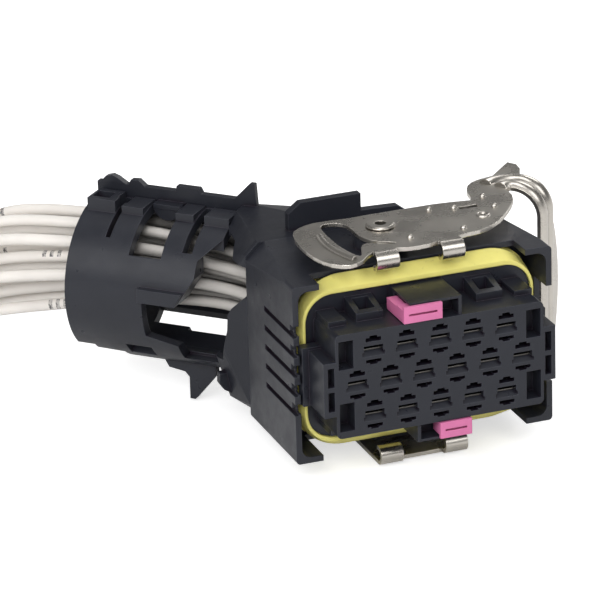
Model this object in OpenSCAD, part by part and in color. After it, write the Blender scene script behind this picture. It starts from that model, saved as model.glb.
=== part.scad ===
// Sealed sixteen-way control-unit connector with a locking lever, an outlet cover and its wires.
// The origin is the middle of the mating face. The connector mates towards -Y, and +Z is up.

/* [Contact field] */
// Distance between neighbouring contacts in a row
pitch = 5.2; // [5:0.1:6]
// Distance between rows
row_pitch = 5.05; // [4.8:0.05:5.6]
// Width of a blade opening
blade_w = 3; // [2.6:0.1:3.2]
// Height of a blade opening
blade_h = 1; // [0.7:0.1:1.1]

/* [Insert] */
// From the outermost contact to the side of the nose
nose_side = 3.3; // [3:0.1:4.5]
// From the outer rows to the top and bottom of the nose
nose_cap = 3.05; // [2.8:0.05:4]
// Depth of the nose in front of the shoulder
nose_len = 8.5; // [7.5:0.1:11]
// How far the shoulder stands out beside the nose
shoulder_side = 1.45; // [1:0.05:2]
// How far the shoulder stands out above and below the nose
shoulder_cap = 3.15; // [3:0.05:4]
// Corner radius of the shoulder
shoulder_r = 4.2; // [3.4:0.1:5]
// Whole depth of the insert
insert_len = 22; // [21:0.1:26]

/* [Seal] */
// Thickness of the ring seal
seal_t = 1.35; // [1.2:0.05:2]
// Depth of the ring seal
seal_len = 7; // [5:0.1:8]
// Space between the seal and the housing
seal_gap = 0.4; // [0.3:0.1:1]

/* [Housing] */
// Wall thickness
wall = 0.9; // [0.8:0.1:1.6]
// Distance of the housing's front edge behind the mating face
housing_front = 6.2; // [5:0.1:7]
// Depth of the housing behind the insert
ledge_len = 3.7; // [2.5:0.1:6]
// Width of the strips that stay beside the cut-outs over the seal
strip_w = 4.2; // [3:0.1:6]
// Depth of the cut-out in the top
cut_top = 4.4; // [3.6:0.1:6]
// Depth of the cut-out in the bottom
cut_bottom = 8; // [4:0.1:9]
// Spacing of the grooves in the left wall
groove_pitch = 3.05; // [2.5:0.05:3.6]

/* [Lever] */
// Sheet thickness
sheet_t = 0.6; // [0.5:0.1:1]
// Space between the housing and each lever plate
lever_lift = 2.3; // [2.1:0.1:3]
// Sideways place of the pivot
pivot_x = -2.2; // [-4:0.1:2]
// Distance of the pivot behind the housing's front edge
pivot_back = 11; // [10:0.1:13]
// Radius of the rivet's shank
rivet_r = 1.6; // [1.2:0.1:2]
// Sideways distance from the pivot to the stirrup's bends
strap_reach = 25.9; // [25.4:0.1:27]
// Turn of the stirrup, away from facing straight right
strap_turn = 42; // [36:1:48]
// Width of the stirrup's strip
strap_w = 5.4; // [5:0.1:6]
// How far the grip stands out from the strip's edge
grip_out = 2.8; // [1.5:0.1:4]

/* [Secondary locks] */
// Width of a lock's bar
lock_w = 6; // [4:0.1:7]
// Height of a lock's bar
lock_h = 2; // [1.6:0.1:2.2]
// Sliding travel of a lock
lock_travel = 2.2; // [1:0.1:2.6]

/* [Outlet cover] */
// Outer diameter of the conduit ring
ring_d = 24.8; // [24:0.1:27]
// Wall of the conduit ring
ring_wall = 1.6; // [1.2:0.1:2.2]
// Angle of the outlet from straight back
outlet_turn = 45; // [40:1:50]
// Distance from the turning point to the end of the ring
outlet_len = 45.6; // [45:0.1:52]

/* [Wires] */
// Outer diameter of a wire
wire_d = 1.8; // [1.6:0.1:2.2]

/* [Hidden] */
$fn = 64;

// Overlap that cutting shapes reach past the faces that they cut
eps = 0.1;
// Clearance between pieces that are seated in each other
seat = 0.05;
// Clearance between pieces that move past each other
slip = 0.3;

// Contacts in each row, from the top
rows = [5, 6, 5];
cavities = [
    for (r = [0 : len(rows) - 1])
        for (i = [0 : rows[r] - 1])
            [(i - (rows[r] - 1) / 2) * pitch, (1 - r) * row_pitch, i % 2]
];

nose_w = (max(rows) - 1) * pitch + 2 * nose_side;
nose_h = (len(rows) - 1) * row_pitch + 2 * nose_cap;
shoulder_w = nose_w + 2 * shoulder_side;
shoulder_h = nose_h + 2 * shoulder_cap;
seal_w = shoulder_w + 2 * seal_t;
seal_h = shoulder_h + 2 * seal_t;
inner_w = seal_w + 2 * seal_gap;
inner_h = seal_h + 2 * seal_gap;
housing_w = inner_w + 2 * wall;
housing_h = inner_h + 2 * wall;
housing_back = insert_len + ledge_len;
seal_front = nose_len - 0.5;
// The rear opening that the ledge leaves for the retainer and the wires
window_w = shoulder_w - 3.3;
window_h = shoulder_h - 2.3;

// Terminal cavity, wire bore and what fits in them
cavity_w = 3.3;
cavity_h = 2.3;
face_t = 1;
terminal_end = 14;
seal_bore_r = 2.05;
bore_front = insert_len - 7;

// The locks: left end of each bar, depth of the bar, width of the arm, whole depth
lock_x0 = 0.3 - lock_w;
lower_lock_x0 = lock_x0 + 1;
lock_depth = 2.6;
lock_arm = 1.6;
lock_len = 6.4;

plate_low = housing_h / 2 + lever_lift;
plate_top = plate_low + sheet_t;
pivot_y = housing_front + pivot_back;
boss_r = 4;
// Where the stirrup's strip begins to bend, its bend radius, and the two ridges along it
strap_back = 8.8;
bend_r = 3.9;
bend_z = plate_low - bend_r;
ridge_r = 1.35;
ridge_sink = 0.75;

ring_r = ring_d / 2;
bore_r = ring_r - ring_wall;
ring_start = 20;
outlet_y = housing_back + 1.3;
neck_t = 1.3;

// The wires' way through the cover and out of it: distance along the outlet, height of the
// bundle's middle, spread across, spread in height, stagger of neighbours
bundle = [
    [16, 2.2, 0.50, 0.62, 0.7],
    [33, 3.4, 0.44, 0.75, 0.95],
    [48, 2, 0.46, 1.00, 1.1],
    [62, -0.4, 0.50, 1.15, 1.1],
    [86, -12.6, 0.50, 0.46, 0],
    [110, -12.6, 0.50, 0.46, 0]
];

// A rectangle with round corners, centred
module round_rect(w, h, r) {
    square([w - 2 * r, h], center = true);
    square([w, h - 2 * r], center = true);
    for (x = [-1, 1], y = [-1, 1])
        translate([x * (w / 2 - r), y * (h / 2 - r)]) circle(r);
}

// A profile drawn in X and Z, run from y0 back to y1
module along_y(y0, y1) {
    translate([0, y1, 0]) rotate([90, 0, 0]) linear_extrude(y1 - y0) children();
}

// A profile drawn in Y and Z, run from x0 to x1
module along_x(x0, x1) {
    translate([x0, 0, 0]) rotate([90, 0, 90]) linear_extrude(x1 - x0) children();
}

// A block between two corners
module block(a, b) {
    translate(a) cube(b - a);
}

// The outlet's own frame: Y runs out along the ring, -X faces front left
module outlet() {
    translate([0, outlet_y, 0]) rotate([0, 0, outlet_turn]) children();
}

module ring_cylinder(r, k0, k1) {
    translate([0, k0, 0]) rotate([-90, 0, 0]) cylinder(r = r, h = k1 - k0);
}

// Turns a shape round the ring, from the top towards the front left
module round_ring(angle) {
    rotate([0, -angle, 0]) children();
}

// Cuts a window in the ring: between k0 and k1 along it, and from angle a0 to a1
module ring_window(k0, k1, a0, a1) {
    half = ring_r * sin((a1 - a0) / 2);
    round_ring((a0 + a1) / 2)
        block([-half, k0, bore_r * 0.75], [half, k1, ring_r + 4]);
}

module housing_grooves() {
    groove_h = 0.85;
    groove_depth = 0.6;
    groove_end = housing_front + 12.1;
    for (i = [-2 : 2]) {
        z = 0.4 + i * groove_pitch;
        block([-housing_w / 2 - eps, housing_front - eps, z - groove_h / 2],
              [-housing_w / 2 + groove_depth, groove_end, z + groove_h / 2]);
        block([-housing_w / 2 - eps, housing_front - eps, z - 0.2],
              [-inner_w / 2 + eps, housing_front + 1.3, z + 1.4]);
    }
}

module housing() {
    bevel = 2.6;
    notch_h = 15.3;
    notch_len = 4.5;
    color("#2b2d31") difference() {
        union() {
            along_y(housing_front, housing_back) round_rect(housing_w, housing_h, 0.6);
            for (side = [-1, 1])
                translate([pivot_x, pivot_y, side * (housing_h / 2 + (lever_lift - slip) / 2)])
                    cylinder(r = boss_r, h = lever_lift - slip, center = true);
        }
        along_y(housing_front - eps, insert_len) round_rect(inner_w, inner_h, 1.5);
        along_y(insert_len - eps, housing_back + eps) round_rect(window_w, window_h, 1.5);
        block([-housing_w / 2 + strip_w, housing_front - eps, 0],
              [housing_w / 2 - strip_w, housing_front + cut_top, housing_h]);
        block([-housing_w / 2 + strip_w, housing_front - eps, -housing_h],
              [housing_w / 2 - strip_w, housing_front + cut_bottom, 0]);
        block([0, housing_front - eps, -notch_h / 2],
              [housing_w, housing_front + notch_len, notch_h / 2]);
        housing_grooves();
        for (side = [0, 1])
            mirror([side, 0, 0]) translate([-housing_w / 2, housing_front + 1, housing_h / 2])
                rotate([-atan(bevel / (housing_back - housing_front - 1)), 0, 0])
                    rotate([0, -40, 0]) translate([-10, 0, 0]) cube([20, 30, 10]);
        for (side = [-1, 1])
            translate([pivot_x, pivot_y, side * (housing_h / 2 + lever_lift / 2 - wall / 2)])
                cylinder(r = rivet_r + seat, h = lever_lift + wall, center = true);
    }
}

// The openings of one contact: blade opening with its ramp, and the slots above and below it
module contact_opening() {
    slot_w = 2.4;
    block([-blade_w / 2, -eps, -0.35], [blade_w / 2, face_t + eps, blade_h - 0.35]);
    along_x(-blade_w / 2 - 0.25, blade_w / 2 + 0.25)
        polygon([[-eps, -1.1], [-eps, -0.3], [face_t - 0.2, -0.3]]);
    block([-slot_w / 2, -eps, 1.3], [slot_w / 2, 2.5, 1.9]);
    block([-slot_w / 4, -eps, 1.8], [slot_w / 4, 2.5, 2.2]);
    block([-slot_w / 2, -eps, -2], [slot_w / 2, 2.5, -1.5]);
    block([-slot_w / 4, -eps, -2.25], [slot_w / 4, 2.5, -1.9]);
}

// What stands on the upper side of the nose, with room for a lock whose left end is at x0.
// Turned over, it stands on the lower side too.
module nose_top(x0) {
    top = nose_h / 2;
    room = lock_h + slip + 0.2;
    roof = 0.35;
    lug_x = 9.4;
    end_x = nose_w / 2 - 1.7;
    // The hood over the lock
    difference() {
        block([lock_x0 + 1.25, 0.4, top - eps], [lock_travel + 1.4, nose_len + eps, top + room + roof]);
        block([lock_x0 - 1, 0, top], [lock_x0 + lock_w + lock_travel + 0.6, lock_depth + 0.5, top + room]);
        block([lock_x0 - 1, 0, top], [x0 + lock_arm + lock_travel + slip, lock_len + slip, top + room]);
    }
    // Ramped frames that take the header's catches, and a stop beside each
    for (side = [-1, 1]) {
        difference() {
            along_x(side * lug_x - 2.1, side * lug_x + 2.1)
                polygon([[3.8, top - eps], [3.8, top + 1.2], [nose_len + eps, top + 2.2],
                         [nose_len + eps, top - eps]]);
            block([side * lug_x - 1.2, 4.8, top], [side * lug_x + 1.2, nose_len - 0.6, top + 3]);
        }
        block([side * end_x - 1.4, 3.4, top - eps], [side * end_x + 1.4, nose_len + eps, top + 0.8]);
    }
}

module insert() {
    pocket_x = nose_w / 2 - 1.6;
    rib_x = nose_w / 2 + 1.9;
    color("#3a3c42") difference() {
        union() {
            along_y(0, nose_len + eps) round_rect(nose_w, nose_h, 0.8);
            along_y(nose_len, insert_len) round_rect(shoulder_w, shoulder_h, shoulder_r);
            along_y(seal_front + seal_len, insert_len)
                round_rect(inner_w - 2 * seat, inner_h - 2 * seat, 1.5);
            nose_top(lock_x0);
            rotate([0, 180, 0]) nose_top(lower_lock_x0);
            for (side = [0, 1]) mirror([side, 0, 0]) {
                block([nose_w / 2 - eps, 0, -4.5], [rib_x, 6, 4]);
                block([nose_w / 2 - eps, 6 - eps, -4.7], [inner_w / 2 - slip, seal_front - slip, 4.4]);
            }
        }
        for (c = cavities) translate([c[0], 0, c[1]]) {
            contact_opening();
            block([-cavity_w / 2, face_t, -cavity_h / 2], [cavity_w / 2, bore_front + eps, cavity_h / 2]);
            along_y(bore_front, insert_len + eps) circle(seal_bore_r);
        }
        for (x = [-1, 1], z = [-1, 1])
            translate([x * pocket_x, 0, z * 4.85]) block([-1.15, -eps, -2.2], [1.15, 3, 2.2]);
        for (x = [-1, 1], z = [-2.1, 1.65])
            translate([x * (rib_x - 1.15), 0, z]) block([-0.5, -eps, -1.5], [0.5, 2, 1.5]);
    }
}

// The seal: a flared rim in front, and a lipped sleeve in the housing behind it
module peripheral_seal() {
    rim_back = housing_front + min(cut_top, cut_bottom) - 0.4;
    lip = 0.4;
    color("#e3da6c") difference() {
        union() {
            hull() {
                along_y(seal_front, seal_front + eps)
                    round_rect(shoulder_w + 0.9, shoulder_h + 1.5, shoulder_r + 0.6);
                along_y(rim_back - eps, rim_back)
                    round_rect(inner_w - 1, housing_h - 0.8, shoulder_r + 3.3);
            }
            along_y(rim_back - eps / 2, seal_front + seal_len)
                round_rect(seal_w - 2 * lip, seal_h - 2 * lip, shoulder_r + seal_t);
            along_y(seal_front + seal_len - 2.5, seal_front + seal_len - 1)
                round_rect(seal_w, seal_h, shoulder_r + seal_t);
        }
        along_y(seal_front - eps, seal_front + seal_len + eps)
            round_rect(shoulder_w + 2 * seat, shoulder_h + 2 * seat, shoulder_r + seat);
    }
}

module terminals() {
    w = cavity_w - 0.3;
    h = cavity_h - 0.3;
    skin = 0.3;
    box_end = 8.5;
    lip_z = -0.15;
    color("#b9b4a6") for (c = cavities) translate([c[0], 0, c[1]]) difference() {
        union() {
            block([-w / 2, face_t, -h / 2], [w / 2, box_end, h / 2]);
            along_y(box_end - eps, terminal_end) circle(h / 2);
        }
        block([-w / 2 + skin, face_t - eps, lip_z], [w / 2 - skin, box_end - 1, h / 2 - skin]);
        // Only the lip under the blade reaches the front
        block([-w, face_t - eps, lip_z], [w, face_t + 1, h]);
    }
}

module wire_seals() {
    color("#c9a13b") for (c = cavities) translate([c[0], 0, c[1]]) difference() {
        union() {
            along_y(bore_front + 0.5, insert_len) circle(seal_bore_r - 0.35);
            for (i = [0 : 2]) {
                y = bore_front + 1 + i * 2;
                along_y(y, y + 1) circle(seal_bore_r - seat);
            }
        }
        along_y(bore_front, insert_len + eps) circle(wire_d / 2 + seat);
    }
}

module seal_retainer() {
    color("#2b2d31") difference() {
        along_y(insert_len, insert_len + 1.4)
            round_rect(window_w - 2 * seat, window_h - 2 * seat, 1.5);
        for (c = cavities) translate([c[0], 0, c[1]])
            along_y(insert_len - eps, insert_len + 2) circle(wire_d / 2 + 0.2);
    }
}

// A slide with its left end at x0: a bar, a taller head in front of it, and an arm that reaches back
module lock_shape(x0) {
    low = nose_h / 2 + slip / 2;
    front = -0.3;
    head_h = lock_h + 0.5;
    difference() {
        union() {
            block([x0, front, low], [lock_x0 + lock_w, 0.25, low + head_h]);
            block([x0, 0, low], [lock_x0 + lock_w, lock_depth, low + lock_h]);
            block([x0, lock_depth - eps, low], [x0 + lock_arm, lock_len, low + lock_h - 0.2]);
        }
        block([x0 + 0.8, front - eps, low + head_h / 2 - 0.15],
              [lock_x0 + lock_w - 0.8, front + 0.35, low + head_h / 2 + 0.15]);
    }
}

module upper_lock() {
    color("#e86bb0") lock_shape(lock_x0);
}

module lower_lock() {
    color("#e86bb0") rotate([0, 180, 0]) lock_shape(lower_lock_x0);
}

// The upper lever plate's outline, measured from the pivot
module plate_outline() {
    difference() {
        union() {
            polygon([
                [-13, 2], [-12.3, 3.3], [-11.3, 4.2], [-10, 4.9], [-8.6, 5.3], [-6, 5.3], [-3.5, 5.05],
                [1.3, 5.1], [6.5, 5.2], [10.4, 5.2], [13.4, 4.9], [16.3, 4.4], [20, 5], [22.9, 5.4],
                [22.8, 3.8], [22.1, 1.8], [21, 0], [19.7, -1.8], [18.3, -3.5], [16.9, -5.1], [15.1, -6.5],
                [13.9, -7.2], [12.6, -7.7], [10.5, -8], [9, -8.4], [9, -9.2], [5.5, -9.2], [3.8, -9.7],
                [2, -9.9], [0.2, -9.7], [-1.3, -9.2], [-4.8, -9.2], [-6.2, -10.4], [-7.4, -11.8],
                [-8.6, -12.5], [-9.8, -12.8], [-11, -12.3], [-12.1, -11.2], [-12.9, -9.6], [-13.4, -7.4],
                [-13.6, -5], [-13.6, -2.4], [-13.4, 0]
            ]);
            tail_outline();
        }
        circle(rivet_r + slip / 2);
        slot_outline();
        translate([14.8, 1.9]) square([3, 1.1], center = true);
        translate([15.5, -2.1]) circle(0.5);
    }
}

// The lower plate: narrow in front, because no slot is cut in it
module lower_outline() {
    difference() {
        union() {
            polygon([[-4.8, -9.2], [9, -9.2], [9.4, -4.6], [10.6, 1.2], [17.5, 2], [19.7, 4.6],
                     [15.5, 5], [-2, 5.5], [-4, 4], [-4.8, 1.5]]);
            tail_outline();
        }
        circle(rivet_r + slip / 2);
    }
}

// Where each plate runs out into the stirrup's strip, with the hook behind it and the thumb tab
module tail_outline() {
    polygon([
        [16, 4], [16.6, 5], [16.9, 6.2], [17.1, 7.6], [17.6, 9], [18.3, 10.3], [19.3, 11.3], [20.6, 12],
        [22, 12.4], [23.3, 12.6], [27.8, 17.2], [28.7, 15.8], [28.4, 13.7], [27.7, 12.2], [27, 10.4],
        [24.2, 7.2], [23.7, 6.9], [23.2, 6.7], [22.9, 6.3], [22.9, 5.4], [22.8, 3.8], [20, 3]
    ]);
}

// The comma-shaped cam slot, which runs out into a slit
module slot_outline() {
    polygon([
        [-8.2, 3.2], [-7.8, 3.8], [-7.3, 4.1], [-6.6, 4.2], [-5.8, 4.1], [-5.2, 3.7], [-4.7, 3.1],
        [-4.4, 2.3], [-4.3, 1.2], [-4.3, -1.4], [-4.2, -2.6], [-3.9, -3.7], [-3.4, -4.6], [-2.7, -5.4], [-1.8, -6.1],
        [-0.7, -6.8], [-0.4, -7.1], [-0.6, -7.5], [-1.1, -7.5], [-2.4, -6.9], [-3.6, -6.1], [-4.4, -5.6],
        [-5.2, -6], [-5.8, -7], [-6.3, -8.4], [-6.8, -9.8], [-7.2, -10], [-7.6, -9.4], [-8, -8], [-8.3, -6.4],
        [-8.5, -4.6], [-8.6, -2.6], [-8.6, -0.6], [-8.5, 1.2], [-8.4, 2.4]
    ]);
}

// A rolled edge at the front of a lever plate
module curl(x0, x1) {
    r = 1.45;
    y = -9.45;
    translate([x0, y, plate_top - r]) rotate([90, 0, 90]) rotate([0, 0, 90])
        rotate_extrude(angle = 205) translate([r - sheet_t, 0]) square([sheet_t, x1 - x0]);
    block([x0, y, plate_low], [x1, y + 0.9, plate_top]);
}

// The place where the strip begins to bend, turned so that X runs out along the strip
module strap_frame() {
    translate([pivot_x + strap_reach, pivot_y + strap_back, 0]) rotate([0, 0, -strap_turn]) children();
}

// Section of one ridge, on a sheet whose inner face is at X = 0
module ridge_section() {
    intersection() {
        translate([sheet_t - ridge_sink, 0]) circle(ridge_r, $fn = 32);
        translate([eps, -ridge_r - 1]) square([ridge_r + 1, 2 * ridge_r + 2]);
    }
}

// Section of the stirrup's strip
module strap_section() {
    translate([0, -strap_w / 2]) square([sheet_t, strap_w]);
    for (side = [-1, 1]) translate([0, side * strap_w / 4]) ridge_section();
}

// One side of the stirrup above the middle: the strip, its bend, and the ridges run out on the plate
module strap_half() {
    turn_y = -3.3;
    strap_frame() {
        translate([0, 0, bend_z]) rotate([90, 0, 0])
            rotate_extrude(angle = 90) translate([bend_r, 0]) strap_section();
        translate([bend_r, 0, 0]) linear_extrude(bend_z) strap_section();
        block([-3, -strap_w / 2, plate_low], [0, strap_w / 2, plate_top]);
        for (side = [-1, 1])
            translate([0, turn_y, plate_low]) rotate([0, 0, 90]) rotate_extrude(angle = 75)
                translate([side * strap_w / 4 - turn_y, 0]) rotate(90) ridge_section();
    }
}

// The flat grip on the stirrup's edge
module grip() {
    half = 11;
    round_r = (half * half + grip_out * grip_out) / (2 * grip_out);
    edge = strap_w / 2;
    strap_frame() along_x(bend_r, bend_r + sheet_t) intersection() {
        translate([edge + grip_out - round_r, 0]) circle(round_r, $fn = 128);
        translate([edge - 0.6, -half - 1]) square([grip_out + 2, 2 * half + 2]);
    }
}

// What both plates of the lever have: the sheet and the curls
module lever_half() {
    translate([pivot_x, pivot_y, 0]) {
        translate([0, 0, plate_low]) linear_extrude(sheet_t) children();
        curl(-4.8, -1.3);
        curl(5.5, 9);
    }
}

// The bead beside the slot, the pips and the rim of the hole, pressed up out of the upper plate
module plate_embossing() {
    pips = [[9, 3.2], [12.7, 2.4], [18.5, 0.6], [18.5, 5.1], [2.2, -6.2], [10.8, -5.9]];
    translate([pivot_x, pivot_y, plate_top]) {
        translate([7.2, -3.8, 0]) rotate([0, 0, 168])
            rotate_extrude(angle = 37) translate([17.2, 0]) circle(0.5, $fn = 24);
        for (p = pips) translate(p) sphere(0.5, $fn = 24);
        translate([15.5, -2.1, 0]) rotate_extrude() translate([0.85, 0]) circle(0.25, $fn = 16);
    }
}

module lever() {
    color("#a7a39a") {
        lever_half() plate_outline();
        mirror([0, 0, 1]) lever_half() lower_outline();
        plate_embossing();
        for (side = [0, 1]) mirror([0, 0, side]) strap_half();
        grip();
    }
}

// A rivet: shank in the housing's boss, and a low collar that keeps the lever on
module rivet() {
    collar_r = 2.2;
    hole_r = 0.9;
    gap = 0.15;
    collar_z = plate_top + gap;
    translate([pivot_x, pivot_y, 0]) difference() {
        union() {
            translate([0, 0, housing_h / 2 - wall])
                cylinder(r = rivet_r, h = collar_z + eps - housing_h / 2 + wall);
            translate([0, 0, plate_low - slip]) cylinder(r = collar_r, h = slip / 2);
            translate([0, 0, collar_z]) rotate_extrude()
                polygon([[0.5, 0], [collar_r, 0], [collar_r, 0.12], [collar_r - 0.25, 0.35], [0.5, 0.35]]);
        }
        translate([0, 0, collar_z - 0.8]) cylinder(r = hole_r, h = 2);
    }
}

module upper_rivet() {
    color("#b5b1a8") rivet();
}

module lower_rivet() {
    color("#b5b1a8") mirror([0, 0, 1]) rivet();
}

// The neck's foot on the housing: its top falls away to the right
module neck_base(inset) {
    x = housing_w / 2 - inset;
    z = housing_h / 2 - inset;
    polygon([[-x + 2, z], [-3, z], [x, window_h / 2 + 1 - inset / 2], [x, -z + 2], [x - 2, -z],
             [-x + 2, -z], [-x, -z + 2], [-x, z - 2]]);
}

// Outer or inner form of the neck, from the housing's back to the ring
module neck_form(inset) {
    hull() {
        along_y(housing_back, housing_back + 1)
            neck_base(inset);
        outlet() {
            translate([0, ring_start, 0]) rotate([-90, 0, 0])
                cylinder(r = ring_r + 0.4 - inset, h = 1, $fn = 48);
            block([-2, ring_start, 0], [1.2, ring_start + 1, ring_r + 1.2 - inset]);
            block([-11.8 + inset, 17.5, -12.6 + inset], [-6, 18.5, -8]);
        }
    }
}

// Half of the ring, on the given side of the plane through its axis
module ring_half(side, k0, k1) {
    difference() {
        ring_cylinder(ring_r, k0, k1);
        ring_cylinder(bore_r, k0 - eps, k1 + eps);
        block([side > 0 ? -ring_r - 1 : 0, k0 - 1, -ring_r - 1],
              [side > 0 ? 0 : ring_r + 1, k1 + 1, ring_r + 1]);
    }
}

// The spine along the seam at the top, with the housings of the snap fingers
module spine() {
    top = ring_r + 2.1;
    thick = 1.1;
    end = outlet_len;
    difference() {
        union() {
            block([0.2, ring_start + 0.4, ring_r - 1], [0.2 + thick, end, top]);
            along_x(0.2, 0.2 + thick)
                polygon([[end - 0.5, top - eps], [end - 1.4, top + 0.9], [end - 2.5, top + 1.2],
                         [end - 3.4, top + 0.9], [end - 5, top - eps]]);
            along_x(0.2, 0.2 + thick)
                polygon([[end - 5.3, top - eps], [end - 5.7, top + 0.8], [end - 7, top + 0.9],
                         [end - 8.2, top - eps]]);
            along_x(0.2, 0.2 + thick)
                polygon([[32.3, top - eps], [32.1, top + 0.8], [28.4, top + 0.8], [27.9, top - eps]]);
        }
        ring_cylinder(bore_r, ring_start - eps, outlet_len + eps);
    }
}

module cover_body() {
    top_wall_y = housing_back + 2.3;
    ear_t = 0.9;
    color("#2b2d31") {
        difference() {
            neck_form(0);
            neck_form(neck_t);
            along_y(housing_back - eps, housing_back + 0.5) neck_base(neck_t);
            outlet() ring_cylinder(bore_r - 0.3, ring_start - 1, ring_start + 2);
            outlet() along_x(-ring_r - 20, -5)
                polygon([[ring_start + 2, 11.8], [17.8, 11.8], [16.6, 10.3], [12, 10.1], [12, 5.4], [14, 5.2],
                         [16.6, 2.8], [17.4, 1.6], [17.6, -1], [18.4, -4], [18.8, -6.2], [ring_start + 2, -6.6]]);
        }
        // Lug at the neck's lower left
        along_y(housing_back + 5.2, housing_back + 6.5)
            polygon([[-18, -8.4], [-23.2, -8.4], [-23.3, -10], [-22.6, -11.1], [-21.6, -11.7],
                     [-20.9, -12.2], [-20.3, -13.2], [-18, -13.2]]);
        // Fin and hump on the top, behind the housing
        along_y(top_wall_y, top_wall_y + 1.4)
            polygon([[-12.6, housing_h / 2 - 1], [-12.6, 16.6], [-10.6, 18.1], [-1, 18.1], [-1, 15.4],
                     [5, 15.2], [8, housing_h / 2 - 1]]);
        outlet() {
            difference() {
                ring_half(1, ring_start + 0.4, outlet_len);
                ring_window(27.3, 39.2, 207, 222);
                ring_window(23, 33, 203, 215);
                ring_window(24, 36, 268, 284);
                ring_window(27, 39, 312, 332);
            }
            spine();
            along_x(0.2, 0.2 + ear_t) polygon([[22.5, ring_r], [22.5, 14.4], [19.8, 17.2], [19, 17.2],
                                               [18.7, 13], [18.7, ring_r - 0.4]]);
            along_x(-1.6, -0.8) difference() {
                translate([33, 12.6]) circle(2.4);
                translate([29, 12.6]) square([8, 4]);
            }
            block([-1.7, 30.8, 12], [0.4, 35.2, 12.7]);
        }
    }
}

module cover_door() {
    foot_z = plate_top + 0.15;
    color("#33353a") outlet() {
        difference() {
            union() {
                ring_half(-1, 21.2, outlet_len);
                block([-4.6, 40.3, 10.4], [-0.3, outlet_len - 0.6, 13.5]);
                block([-4.4, 35.7, 10.4], [-0.1, 39.3, 12.8]);
                block([-4.4, 27.2, 10.4], [-0.1, 30.2, 12.8]);
                block([-4.6, 21.2, 10.4], [-0.9, 25.3, 13]);
                along_x(-ring_r - 0.7, -ring_r + 2.2)
                    polygon([[25.6, 3.2], [33, 3.2], [33, 1], [26.8, 1]]);
                along_x(-5.6, -4.3)
                    polygon([[33, -10], [31.7, -12.2], [29, -12.6], [28.3, -13.4], [28.3, -foot_z],
                             [27.4, -foot_z], [23.8, -12.6], [23.8, -10]]);
            }
            ring_cylinder(bore_r, 20, outlet_len + 1);
            // Slits and the gap between the snap fingers
            ring_window(30.2, 35.6, -20, 54);
            ring_window(39.4, 40.2, -20, 43);
            ring_window(39, 40.6, -20, 14);
            ring_window(25.4, 27, -20, 47);
            // Pocket in the end finger
            block([-3.6, 41.7, 12.2], [-1.2, 44.6, 14]);
            // Open edge towards the housing, and the low window
            along_x(-ring_r - 2, -6.6)
                polygon([[15, 20], [21.1, 20], [21.3, 10.4], [24.2, 7.7], [24.2, 5.2], [26.8, 1],
                         [32.6, 1], [32.6, -5], [27.5, -6.3], [27.5, -9], [15, -9]]);
            ring_window(32.4, 36.8, 127, 140);
            // Lower edge, cut higher towards the end
            along_x(-ring_r - 2, 1)
                polygon([[38.2, -20], [38.2, -9.8], [42.7, -9.6], [42.7, -8.8], [outlet_len + 1, -8.8],
                         [outlet_len + 1, -20]]);
        }
        // Flange that stiffens the open edge
        intersection() {
            ring_cylinder(ring_r - 0.2, 20, 34);
            along_x(-ring_r, -7.6)
                polygon([[21.3, 10.4], [24.2, 7.7], [24.2, 5.2], [26.8, 1], [27.9, 1], [25.2, 5.4],
                         [25.2, 8.1], [22.3, 10.4]]);
        }
    }
}

// Points of one wire, from its terminal to its free end
function wire_route(c) = concat(
    [[c[0], terminal_end, c[1]], [c[0], housing_back, c[1]]],
    [for (s = bundle) outlet_point(s[0], s[2] * c[0], s[1] + s[3] * c[1] + s[4] * (2 * c[2] - 1))]
);
// A point given along the outlet, across it towards the rear right, and in height
function outlet_point(k, across, z) = [
    across * cos(outlet_turn) - k * sin(outlet_turn),
    outlet_y + across * sin(outlet_turn) + k * cos(outlet_turn),
    z
];
function unit(v) = v / norm(v);
function heading(p, i) = unit(
    unit(p[min(i + 1, len(p) - 1)] - p[min(i, len(p) - 2)]) + unit(p[max(i, 1)] - p[max(i - 1, 0)])
);
function ring_points(at, along, r, sides) = let(
    side = unit(cross(along, [0, 0, 1])),
    up = cross(side, along)
) [for (j = [0 : sides - 1]) at + r * (cos(360 * j / sides) * side + sin(360 * j / sides) * up)];

// A tube swept along a route
module tube(p, r, sides = 8) {
    n = len(p);
    points = [for (i = [0 : n - 1]) each ring_points(p[i], heading(p, i), r, sides)];
    walls = [
        for (i = [0 : n - 2], j = [0 : sides - 1]) let(k = (j + 1) % sides)
            each [[i * sides + j, i * sides + k, (i + 1) * sides + j],
                  [i * sides + k, (i + 1) * sides + k, (i + 1) * sides + j]]
    ];
    start = [for (j = [sides - 1 : -1 : 0]) j];
    end = [for (j = [0 : sides - 1]) (n - 1) * sides + j];
    polyhedron(points, concat(walls, [start, end]));
}

module wire(i) {
    color("#e6dfd4") tube(wire_route(cavities[i]), wire_d / 2);
}

housing();
insert();
peripheral_seal();
terminals();
wire_seals();
seal_retainer();
upper_lock();
lower_lock();
lever();
upper_rivet();
lower_rivet();
cover_body();
cover_door();
wire(0);  // wire_01
wire(1);  // wire_02
wire(2);  // wire_03
wire(3);  // wire_04
wire(4);  // wire_05
wire(5);  // wire_06
wire(6);  // wire_07
wire(7);  // wire_08
wire(8);  // wire_09
wire(9);  // wire_10
wire(10);  // wire_11
wire(11);  // wire_12
wire(12);  // wire_13
wire(13);  // wire_14
wire(14);  // wire_15
wire(15);  // wire_16
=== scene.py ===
"""Looks of the connector pigtail: camera, light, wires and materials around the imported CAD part.

Blender works in metres, in the part's own frame: -Y is the way it mates, +Z is up. The wires
repeat the route of part.scad, in its millimetres.
"""

import math

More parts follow.
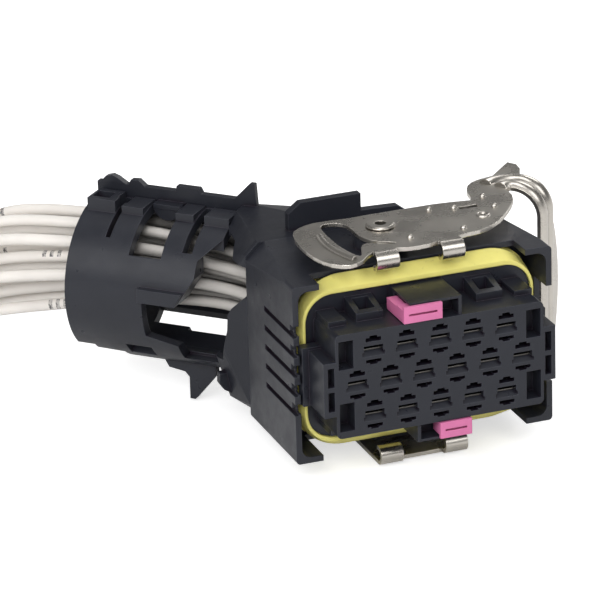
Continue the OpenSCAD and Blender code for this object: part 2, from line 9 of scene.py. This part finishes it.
import bpy
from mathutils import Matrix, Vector


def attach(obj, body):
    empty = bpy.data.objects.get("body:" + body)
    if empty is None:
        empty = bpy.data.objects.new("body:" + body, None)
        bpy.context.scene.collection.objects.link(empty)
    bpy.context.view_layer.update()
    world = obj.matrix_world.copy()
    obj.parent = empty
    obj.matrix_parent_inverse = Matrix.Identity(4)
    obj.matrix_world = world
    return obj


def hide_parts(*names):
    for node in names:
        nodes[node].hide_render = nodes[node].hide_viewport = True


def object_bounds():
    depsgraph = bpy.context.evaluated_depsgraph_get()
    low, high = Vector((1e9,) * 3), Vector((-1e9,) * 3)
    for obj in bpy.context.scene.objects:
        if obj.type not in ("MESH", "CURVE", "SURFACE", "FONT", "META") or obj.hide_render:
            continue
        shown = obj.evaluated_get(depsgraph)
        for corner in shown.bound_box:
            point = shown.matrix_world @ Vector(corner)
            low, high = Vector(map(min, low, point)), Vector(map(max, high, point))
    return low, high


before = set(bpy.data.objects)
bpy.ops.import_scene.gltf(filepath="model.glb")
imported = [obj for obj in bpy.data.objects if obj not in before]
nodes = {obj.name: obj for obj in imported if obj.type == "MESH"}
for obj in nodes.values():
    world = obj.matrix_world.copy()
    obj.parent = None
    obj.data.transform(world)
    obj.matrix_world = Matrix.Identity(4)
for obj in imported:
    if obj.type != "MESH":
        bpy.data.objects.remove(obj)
cad_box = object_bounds()
scene = bpy.context.scene
scene.view_settings.view_transform = "Standard"

MM = 0.001
WHITE = (1.0, 1.0, 1.0, 1.0)

# Camera, fitted to the photograph
CAMERA_PLACE = (-0.218156, -0.532138, 0.242106)
CAMERA_TURN = [math.radians(a) for a in (68.1405, 1.5534, -20.9075)]
CAMERA_LENS, CAMERA_SENSOR = 257.646, 36
CAMERA_NEAR, CAMERA_FAR = 0.05, 20

# Wires in millimetres, as in part.scad
PITCH, ROW_PITCH, ROWS = 5.2, 5.05, (5, 6, 5)
WIRE_D = 1.8
TERMINAL_END, RETAINER_BACK, HOUSING_BACK, OUTLET_Y = 14.0, 23.4, 25.7, 27.0
OUTLET_TURN = math.radians(45)
# Distance along the outlet, height of the bundle's middle, spread across and in height, stagger
BUNDLE = (
    (16, 2.2, 0.50, 0.62, 0.7),
    (33, 3.4, 0.44, 0.75, 0.95),
    (48, 2.0, 0.46, 1.00, 1.1),
    (62, -0.4, 0.50, 1.15, 1.1),
    (86, -12.6, 0.50, 0.46, 0.0),
    (110, -12.6, 0.50, 0.46, 0.0),
)
WIRE_STEP, WIRE_SIDES = 1.5, 16

# A wire's UV map has millimetres along it and turns around it, with another start for each wire.
# A cut end lies on a unit circle far off. One wire in three starts at PLAIN_V and has no ticks.
START_U, START_V = 7.3, 0.37
PLAIN_V, PRINTED_V_MAX = 50.0, 20.0
END_U, END_V, END_U_MIN = 1000.0, -10.0, 500.0
CORE_REACH_SQUARED = 0.40
TICK_REPEAT, TICK_GROUP, TICK_PITCH, TICK_SHARE, TICK_HALF_WIDTH = 34.0, 3.6, 1.3, 0.5, 0.16
INK = (0.03, 0.03, 0.035, 1.0)
COPPER_DARK, COPPER_LIGHT = (0.30, 0.12, 0.06, 1.0), (0.80, 0.40, 0.22, 1.0)
# Painted shade on the wires inside the cover. Places are metres from the origin, taken in the
# outlet's direction, and the painted shade starts and is full at these shares of open sky.
COVERED_AT, OPEN_AT = 0.062, 0.074
DEEP_SHADE_AT, UNSHADED_AT, DEEP_SHADE = 0.050, 0.068, 0.42
SHADE_REACH, SHADE_STARTS, SHADE_FULL = 9.0 * MM, 0.50, 0.12
SHADE_MOST, SHADE_GAIN = 0.75, 0.16

# Finish of moulded, rubber and plated surfaces: the span of a noise texture, shader settings
NOISE_LOW, NOISE_HIGH = 0.3, 0.7
BEVEL_SAMPLES, SKY_SAMPLES = 6, 8
PLASTIC_EDGE, RUBBER_EDGE, STEEL_EDGE = 0.16 * MM, 0.3 * MM, 0.14 * MM
# Painted shade in grooves: its reach, the shares of open sky where it starts and is full, and its
# tint
PLASTIC_GROOVE, STEEL_GROOVE = 1.0 * MM, 1.4 * MM
GROOVE_STARTS, GROOVE_FULL = 0.9, 0.35
GROOVE_SHADE_TINT = (0.5, 0.22, 0.35)
STREAK_SCALE, STREAK_HEIGHT, STREAK_STRENGTH = (420.0, 5200.0, 5200.0), 0.006 * MM, 0.02

# Stage: the floor's reach and grey, and the world's brightness for each kind of ray
FLOOR_REACH, FLOOR_GREY, FLOOR_GLOW = 3.0, (0.82, 0.82, 0.82, 1.0), 0.6
HORIZON_LOW, HORIZON_HIGH, CEILING, FILL = 0.02, 0.16, 0.17, 0.34
MIDDLE = (-0.01, 0.025, 0.0)
# Name, place, aim, size in metres, watts
LIGHTS = (
    ("key", (-0.44, -0.71, 0.55), MIDDLE, (0.45, 0.45), 5.0),
    ("side", (0.36, -0.66, 0.68), MIDDLE, (0.50, 0.60), 2.2),
    ("top", (-0.05, 0.02, 0.95), MIDDLE, (0.7, 0.35), 1.9),
    ("left", (-0.74, -0.28, 0.52), MIDDLE, (0.45, 0.60), 2.0),
    ("right", (0.38, 0.38, 0.36), (0.14, 0.12, -0.02), (0.3, 0.3), 0.7),
)


def add_camera():
    data = bpy.data.cameras.new("camera")
    data.sensor_width = CAMERA_SENSOR
    data.lens = CAMERA_LENS
    data.clip_start, data.clip_end = CAMERA_NEAR, CAMERA_FAR
    camera = bpy.data.objects.new("camera", data)
    camera.location = CAMERA_PLACE
    camera.rotation_euler = CAMERA_TURN
    scene.collection.objects.link(camera)
    scene.camera = camera


class Tree:
    """Builds a node tree: add() makes a node, sets its inputs and links those given as sockets."""

    def __init__(self, tree):
        self.tree = tree
        tree.nodes.clear()

    def add(self, kind, inputs=None, **settings):
        node = self.tree.nodes.new(kind)
        for name, value in settings.items():
            setattr(node, name, value)
        for name, value in (inputs or {}).items():
            self.put(node.inputs[name], value)
        return node

    def put(self, socket, value):
        if isinstance(value, bpy.types.NodeSocket):
            self.tree.links.new(value, socket)
        else:
            socket.default_value = value

    def math(self, operation, a, b=0.0, clamp=False):
        node = self.add("ShaderNodeMath", {0: a, 1: b}, operation=operation, use_clamp=clamp)
        return node.outputs[0]

    def split(self, vector):
        return self.add("ShaderNodeSeparateXYZ", {"Vector": vector}).outputs

    def noise(self, vector, scale, detail, roughness=0.5):
        inputs = {"Vector": vector, "Scale": scale, "Detail": detail, "Roughness": roughness}
        return self.add("ShaderNodeTexNoise", inputs).outputs["Fac"]

    def remap(self, value, low, high, to_low, to_high):
        inputs = {"Value": value, "From Min": low, "From Max": high}
        inputs.update({"To Min": to_low, "To Max": to_high})
        return self.add("ShaderNodeMapRange", inputs).outputs["Result"]

    def spread(self, noise, to_low, to_high):
        """A noise texture's usual span, brought to the given one."""
        return self.remap(noise, NOISE_LOW, NOISE_HIGH, to_low, to_high)

    def mix(self, factor, a, b):
        node = self.add("ShaderNodeMix", data_type="RGBA")
        self.put(node.inputs[0], factor)
        self.put(node.inputs[6], a)
        self.put(node.inputs[7], b)
        return node.outputs[2]

    def stretch(self, vector, scale):
        return self.add("ShaderNodeMapping", {"Vector": vector, "Scale": scale}).outputs[0]

    def bevel(self, radius):
        return self.add("ShaderNodeBevel", {"Radius": radius}, samples=BEVEL_SAMPLES).outputs[0]

    def bump(self, height, distance, normal=None, strength=1.0):
        inputs = {"Height": height, "Distance": distance, "Strength": strength}
        if normal is not None:
            inputs["Normal"] = normal
        return self.add("ShaderNodeBump", inputs).outputs[0]

    def open_sky(self, reach, own_only):
        """1 on an open face, less where the piece itself, or any piece, is closer than reach."""
        settings = {"samples": SKY_SAMPLES, "only_local": own_only}
        node = self.add("ShaderNodeAmbientOcclusion", {"Distance": reach}, **settings)
        return node.outputs["AO"]

    def groove_shade(self, depth):
        """1 in a narrow groove or inner corner of the piece itself, 0 on open faces; it places
        painted shade.
        """
        return self.remap(self.open_sky(depth, True), GROOVE_STARTS, GROOVE_FULL, 0.0, 1.0)

    def edge(self, bevel, start, full):
        """1 where a rounded edge turns away from its faces, 0 on the flat."""
        true = self.add("ShaderNodeNewGeometry").outputs["Normal"]
        dot = self.add("ShaderNodeVectorMath", {0: bevel, 1: true}, operation="DOT_PRODUCT")
        return self.remap(dot.outputs["Value"], start, full, 0.0, 1.0)


def material(name):
    made = bpy.data.materials.new(name)
    made.use_nodes = True
    tree = Tree(made.node_tree)
    shader = tree.add("ShaderNodeBsdfPrincipled")
    tree.add("ShaderNodeOutputMaterial", {"Surface": shader.outputs[0]})
    place = tree.add("ShaderNodeTexCoord").outputs["Object"]
    return made, tree, shader.inputs, place


def rgb(colour, gain=1.0):
    return (*(c * gain for c in colour), 1.0)


def plastic(name, colour, roughness, grain, edge_wear_and_highlight_gain, specular):
    """Moulded plastic: fine spark grain, cloudy sheen, painted shade in grooves, edges rubbed
    paler with a painted highlight.
    """
    made, t, put, place = material(name)
    cloud = t.noise(place, scale=160.0, detail=4.0)
    fine = t.noise(place, scale=4200.0, detail=2.0, roughness=0.6)
    sheen = t.noise(place, scale=420.0, detail=5.0)
    round_edge = t.bevel(PLASTIC_EDGE)
    # Edges rubbed paler, which is also a painted highlight along them
    patchy = t.remap(cloud, 0.35, 0.65, 0.35, 1.0)
    rubbed_and_highlit = t.math("MULTIPLY", t.edge(round_edge, 0.995, 0.86), patchy)
    body = t.mix(cloud, rgb(colour, 0.82), rgb(colour, 1.18))
    # Painted shade: grooves and inner corners darker and tinted
    groove_shade_colour = rgb([c * g for c, g in zip(colour, GROOVE_SHADE_TINT)])
    body = t.mix(t.groove_shade(PLASTIC_GROOVE), body, groove_shade_colour)
    t.put(put["Base Color"], t.mix(rubbed_and_highlit, body, rgb(colour, edge_wear_and_highlight_gain)))
    t.put(put["Roughness"], t.spread(sheen, roughness - 0.07, roughness + 0.07))
    put["Specular IOR Level"].default_value = specular
    t.put(put["Normal"], t.bump(fine, grain * MM, round_edge))
    return made


def rubber(name, colour, roughness):
    """Silicone: satin, faintly translucent, with specks of dust."""
    made, t, put, place = material(name)
    cloud = t.noise(place, scale=210.0, detail=4.0)
    speck = t.noise(place, scale=1500.0, detail=2.0)
    ripple = t.noise(place, scale=900.0, detail=3.0)
    body = t.mix(t.spread(cloud, 0.0, 1.0), rgb(colour, 0.9), rgb(colour, 1.06))
    dust = t.remap(speck, 0.66, 0.8, 0.0, 0.35)
    t.put(put["Base Color"], t.mix(dust, body, rgb(colour, 0.6)))
    t.put(put["Roughness"], t.spread(cloud, roughness - 0.06, roughness + 0.06))
    put["Specular IOR Level"].default_value = 0.35
    put["Subsurface Weight"].default_value = 0.12
    put["Subsurface Radius"].default_value = (0.6 * MM, 0.5 * MM, 0.2 * MM)
    t.put(put["Normal"], t.bump(ripple, 0.02 * MM, t.bevel(RUBBER_EDGE)))
    return made


def steel(name, colour, roughness):
    """Plated sheet: satin, with faint rolled streaks, smudges, painted shade in grooves, and edges
    bright as wear and painted highlight.
    """
    made, t, put, place = material(name)
    streak = t.noise(t.stretch(place, STREAK_SCALE), scale=1.0, detail=3.0, roughness=0.6)
    smudge = t.noise(place, scale=170.0, detail=4.0, roughness=0.55)
    speck = t.noise(place, scale=2300.0, detail=2.0)
    round_edge = t.bevel(STEEL_EDGE)
    body = t.mix(t.spread(smudge, 0.0, 1.0), rgb(colour, 0.90), rgb(colour, 1.06))
    body = t.mix(t.remap(speck, 0.68, 0.8, 0.0, 0.06), body, rgb(colour, 0.6))
    # Painted shade: grooves and inner corners darker
    body = t.mix(t.groove_shade(STEEL_GROOVE), body, rgb(colour, 0.22))
    # Edges brighter: wear, and a painted highlight
    t.put(put["Base Color"], t.mix(t.edge(round_edge, 0.99, 0.8), body, rgb(colour, 1.5)))
    put["Metallic"].default_value = 1.0
    handled = t.spread(smudge, roughness - 0.03, roughness + 0.05)
    rolled = t.spread(streak, -0.008, 0.008)
    t.put(put["Roughness"], t.math("ADD", handled, rolled))
    t.put(put["Normal"], t.bump(streak, STREAK_HEIGHT, round_edge, STREAK_STRENGTH))
    return made


def index_ticks(t, place, along, around):
    """Worn groups of plain ticks along a wire, on one side of it."""
    here = t.math("MULTIPLY", t.math("FRACT", t.math("DIVIDE", along, TICK_REPEAT)), TICK_REPEAT)
    tick = t.math("LESS_THAN", t.math("FRACT", t.math("DIVIDE", here, TICK_PITCH)), TICK_SHARE)
    group = t.math("LESS_THAN", here, TICK_GROUP)
    off_side = t.math("ABSOLUTE", t.math("SUBTRACT", t.math("FRACT", around), 0.5))
    band = t.math("LESS_THAN", off_side, TICK_HALF_WIDTH)
    printed_wire = t.math("LESS_THAN", around, PRINTED_V_MAX)
    printed = t.math("MULTIPLY", printed_wire, t.math("LESS_THAN", along, END_U_MIN))
    ink = t.math("MULTIPLY", t.math("MULTIPLY", tick, group), t.math("MULTIPLY", band, printed))
    worn = t.noise(place, scale=2600.0, detail=2.0)
    return t.math("MULTIPLY", ink, t.remap(worn, 0.4, 0.55, 0.9, 0.35))


def cut_core(t, along, around):
    """1 on the strands in a wire's cut end."""
    end_x, end_y = t.math("SUBTRACT", along, END_U), t.math("SUBTRACT", around, END_V)
    reach = t.math("ADD", t.math("MULTIPLY", end_x, end_x), t.math("MULTIPLY", end_y, end_y))
    at_end = t.math("GREATER_THAN", along, END_U_MIN)
    return t.math("MULTIPLY", at_end, t.math("LESS_THAN", reach, CORE_REACH_SQUARED))


def cover_shade(t, place):
    """Inside the cover the wires get painted shade: darker all over, more where they lie close to
    other things.
    """
    x, y, _ = t.split(place)
    out = t.math("MULTIPLY", t.math("SUBTRACT", y, x), math.cos(OUTLET_TURN))
    covered = t.remap(out, OPEN_AT, COVERED_AT, 0.0, 1.0)
    # Painted shade where other pieces stand close, and all over deep inside the cover
    sky = t.open_sky(SHADE_REACH, False)
    close_shade = t.remap(sky, SHADE_STARTS, SHADE_FULL, 0.0, SHADE_MOST)
    deep_shade = t.remap(out, UNSHADED_AT, DEEP_SHADE_AT, 0.0, DEEP_SHADE)
    return t.math("ADD", t.math("MULTIPLY", covered, close_shade), deep_shade, clamp=True)


def insulation(name, colour):
    """Wire covering: extruded, with worn ticks on some wires and copper in the cut ends."""
    made, t, put, place = material(name)
    along, around, _ = t.split(t.add("ShaderNodeUVMap", uv_map="run").outputs["UV"])
    cloud = t.noise(place, scale=130.0, detail=4.0)
    strand = t.noise(place, scale=5200.0, detail=1.0)
    ripple = t.noise(place, scale=600.0, detail=2.0)
    body = t.mix(t.spread(cloud, 0.0, 1.0), rgb(colour, 0.92), rgb(colour, 1.03))
    body = t.mix(index_ticks(t, place, along, around), body, INK)
    # Painted shade on the wires inside the cover
    body = t.mix(cover_shade(t, place), body, rgb(colour, SHADE_GAIN))
    copper = t.mix(t.remap(strand, 0.4, 0.6, 0.0, 1.0), COPPER_DARK, COPPER_LIGHT)
    t.put(put["Base Color"], t.mix(cut_core(t, along, around), body, copper))
    t.put(put["Roughness"], t.spread(cloud, 0.36, 0.5))
    put["Specular IOR Level"].default_value = 0.45
    put["Subsurface Weight"].default_value = 0.08
    put["Subsurface Radius"].default_value = (0.5 * MM, 0.45 * MM, 0.4 * MM)
    t.put(put["Normal"], t.bump(ripple, 0.02 * MM))
    return made


def dress(made, *names):
    for name in names:
        slots = nodes[name].material_slots
        for slot in slots:
            slot.material = made
        if not slots:
            nodes[name].data.materials.append(made)


def cavities():
    """Place of each contact on the mating face, and whether it is an odd one in its row."""
    for row, count in enumerate(ROWS):
        for i in range(count):
            yield (i - (count - 1) / 2) * PITCH, (1 - row) * ROW_PITCH, i % 2


def outlet_point(k, across, z):
    c, s = math.cos(OUTLET_TURN), math.sin(OUTLET_TURN)
    return Vector((across * c - k * s, OUTLET_Y + across * s + k * c, z))


def wire_route(x, z, parity):
    points = [Vector((x, TERMINAL_END, z)), Vector((x, HOUSING_BACK, z))]
    for k, middle, across, tall, stagger in BUNDLE:
        height = middle + tall * z + stagger * (2 * parity - 1)
        points.append(outlet_point(k, across * x, height))
    return points


def smooth(points, step):
    """The points again on a smooth curve, about step apart, in Hermite pieces."""
    n = len(points)
    gaps = [(points[i + 1] - points[i]).length for i in range(n - 1)]
    slopes = [(points[i + 1] - points[i]) / gaps[i] for i in range(n - 1)]
    tangents = [slopes[0]]
    for i in range(1, n - 1):
        a, b = gaps[i - 1], gaps[i]
        tangents.append((slopes[i - 1] * b + slopes[i] * a) / (a + b))
    tangents.append(slopes[-1])
    line = [points[0].copy()]
    for i, gap in enumerate(gaps):
        count = max(2, round(gap / step))
        for j in range(1, count + 1):
            u = j / count
            u2, u3 = u * u, u * u * u
            line.append(
                points[i] * (2 * u3 - 3 * u2 + 1)
                + tangents[i] * gap * (u3 - 2 * u2 + u)
                + points[i + 1] * (3 * u2 - 2 * u3)
                + tangents[i + 1] * gap * (u3 - u2)
            )
    return line


def tube_mesh(name, line, radius, sides, start_u, start_v):
    """A tube round a line, with a UV map of millimetres along it and turns around it."""
    circle = [(math.cos(a), math.sin(a)) for a in (2 * math.pi * j / sides for j in range(sides))]
    verts, faces, uvs, ring_u = [], [], [], []
    side = None
    run = start_u
    for i, p in enumerate(line):
        along = (line[min(i + 1, len(line) - 1)] - line[max(i - 1, 0)]).normalized()
        if side is None:
            side = along.cross(Vector((0, 0, 1))).normalized()
        side = (side - along * side.dot(along)).normalized()
        up = side.cross(along)
        if i:
            run += (p - line[i - 1]).length
        ring_u.append(run)
        verts.extend((p + (side * c + up * s) * radius) * MM for c, s in circle)
    for i in range(len(line) - 1):
        u0, u1 = ring_u[i], ring_u[i + 1]
        near, far = i * sides, (i + 1) * sides
        for j in range(sides):
            k = (j + 1) % sides
            v0, v1 = start_v + j / sides, start_v + (j + 1) / sides
            faces.append((near + j, near + k, far + k, far + j))
            uvs.append(((u0, v0), (u0, v1), (u1, v1), (u1, v0)))
    last = (len(line) - 1) * sides
    disc = [(END_U + c, END_V + s) for c, s in circle]
    faces.append(tuple(reversed(range(sides))))
    uvs.append(tuple(reversed(disc)))
    faces.append(tuple(range(last, last + sides)))
    uvs.append(tuple(disc))
    mesh = bpy.data.meshes.new(name)
    mesh.from_pydata(verts, [], faces)
    layer = mesh.uv_layers.new(name="run")
    for poly, corners in zip(mesh.polygons, uvs):
        poly.use_smooth = len(poly.vertices) == 4
        for loop, uv in zip(poly.loop_indices, corners):
            layer.data[loop].uv = uv
    mesh.update()
    return mesh


def add_wires(covering):
    for i, (x, z, parity) in enumerate(cavities()):
        name = "wire_%02d" % (i + 1)
        line = smooth(wire_route(x, z, parity), WIRE_STEP)
        start_v = START_V * i + (PLAIN_V if i % 3 == 1 else 0)
        mesh = tube_mesh(name + "_lead", line, WIRE_D / 2, WIRE_SIDES, START_U * i, start_v)
        mesh.materials.append(covering)
        lead = bpy.data.objects.new(name + "_lead", mesh)
        scene.collection.objects.link(lead)
        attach(lead, "shell")
        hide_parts(name)


def add_floor():
    """A pale floor that keeps the part's shadow, and glows for the camera until it is white."""
    low = cad_box[0].z
    signs = ((-1, -1), (1, -1), (1, 1), (-1, 1))
    corners = [(FLOOR_REACH * x, FLOOR_REACH * y, low) for x, y in signs]
    mesh = bpy.data.meshes.new("floor")
    mesh.from_pydata(corners, [], [(0, 1, 2, 3)])
    floor = bpy.data.objects.new("floor", mesh)
    scene.collection.objects.link(floor)
    made = bpy.data.materials.new("floor")
    made.use_nodes = True
    t = Tree(made.node_tree)
    seen = t.add("ShaderNodeLightPath").outputs["Is Camera Ray"]
    matt = t.add("ShaderNodeBsdfDiffuse", {"Color": FLOOR_GREY})
    strength = t.math("MULTIPLY", seen, FLOOR_GLOW)
    glow = t.add("ShaderNodeEmission", {"Color": WHITE, "Strength": strength})
    both = t.add("ShaderNodeAddShader", {0: matt.outputs[0], 1: glow.outputs[0]})
    t.add("ShaderNodeOutputMaterial", {"Surface": both.outputs[0]})
    mesh.materials.append(made)


def add_world():
    """The studio: a white backdrop low down, a dim ceiling over it, and an even fill."""
    world = bpy.data.worlds.new("world")
    scene.world = world
    world.use_nodes = True
    t = Tree(world.node_tree)
    path = t.add("ShaderNodeLightPath").outputs
    height = t.split(t.add("ShaderNodeTexCoord").outputs["Generated"])[2]
    shiny = t.math("MAXIMUM", path["Is Glossy Ray"], path["Is Transmission Ray"])
    backdrop = t.remap(height, HORIZON_LOW, HORIZON_HIGH, 1.0, CEILING)
    mirrored = t.math("MULTIPLY", shiny, backdrop)
    fill = t.math("MULTIPLY", t.math("SUBTRACT", 1.0, shiny), FILL)
    strength = t.math("MAXIMUM", path["Is Camera Ray"], t.math("ADD", mirrored, fill))
    sky = t.add("ShaderNodeBackground", {"Color": WHITE, "Strength": strength})
    t.add("ShaderNodeOutputWorld", {"Surface": sky.outputs[0]})


def add_light(name, place, aim, size, power):
    data = bpy.data.lights.new(name, "AREA")
    data.shape = "RECTANGLE"
    data.size, data.size_y = size
    data.energy = power
    lamp = bpy.data.objects.new(name, data)
    lamp.location = place
    lamp.rotation_euler = (Vector(aim) - Vector(place)).to_track_quat("-Z", "Y").to_euler()
    scene.collection.objects.link(lamp)


add_camera()

# Name, linear colour, roughness, depth of the grain in millimetres, gain of worn edges with
# painted highlight, specular
black = plastic("black_plastic", (0.022, 0.0235, 0.0305), 0.34, 0.010, 2.2, 0.34)
cover = plastic("cover_plastic", (0.0165, 0.0178, 0.0240), 0.36, 0.010, 2.4, 0.27)
carrier = plastic("carrier_plastic", (0.0165, 0.0180, 0.0250), 0.34, 0.006, 2.4, 0.37)
pink = plastic("lock_pink", (0.62, 0.165, 0.345), 0.34, 0.004, 1.1, 0.45)
yellow = rubber("seal_yellow", (0.81, 0.74, 0.215), roughness=0.5)
amber = rubber("wire_seal", (0.60, 0.40, 0.08), roughness=0.5)
plated = steel("plated_steel", (0.645, 0.608, 0.552), roughness=0.27)
contact = steel("contact_metal", (0.22, 0.21, 0.195), roughness=0.34)
white = insulation("wire_white", (0.80, 0.76, 0.715))

dress(black, "housing", "cover_door", "seal_retainer")
dress(cover, "cover_body")
dress(carrier, "insert")
dress(yellow, "peripheral_seal")
dress(amber, "wire_seals")
dress(pink, "upper_lock", "lower_lock")
dress(plated, "lever", "upper_rivet", "lower_rivet")
dress(contact, "terminals")
add_wires(white)
add_floor()
add_world()
for light in LIGHTS:
    add_light(*light)
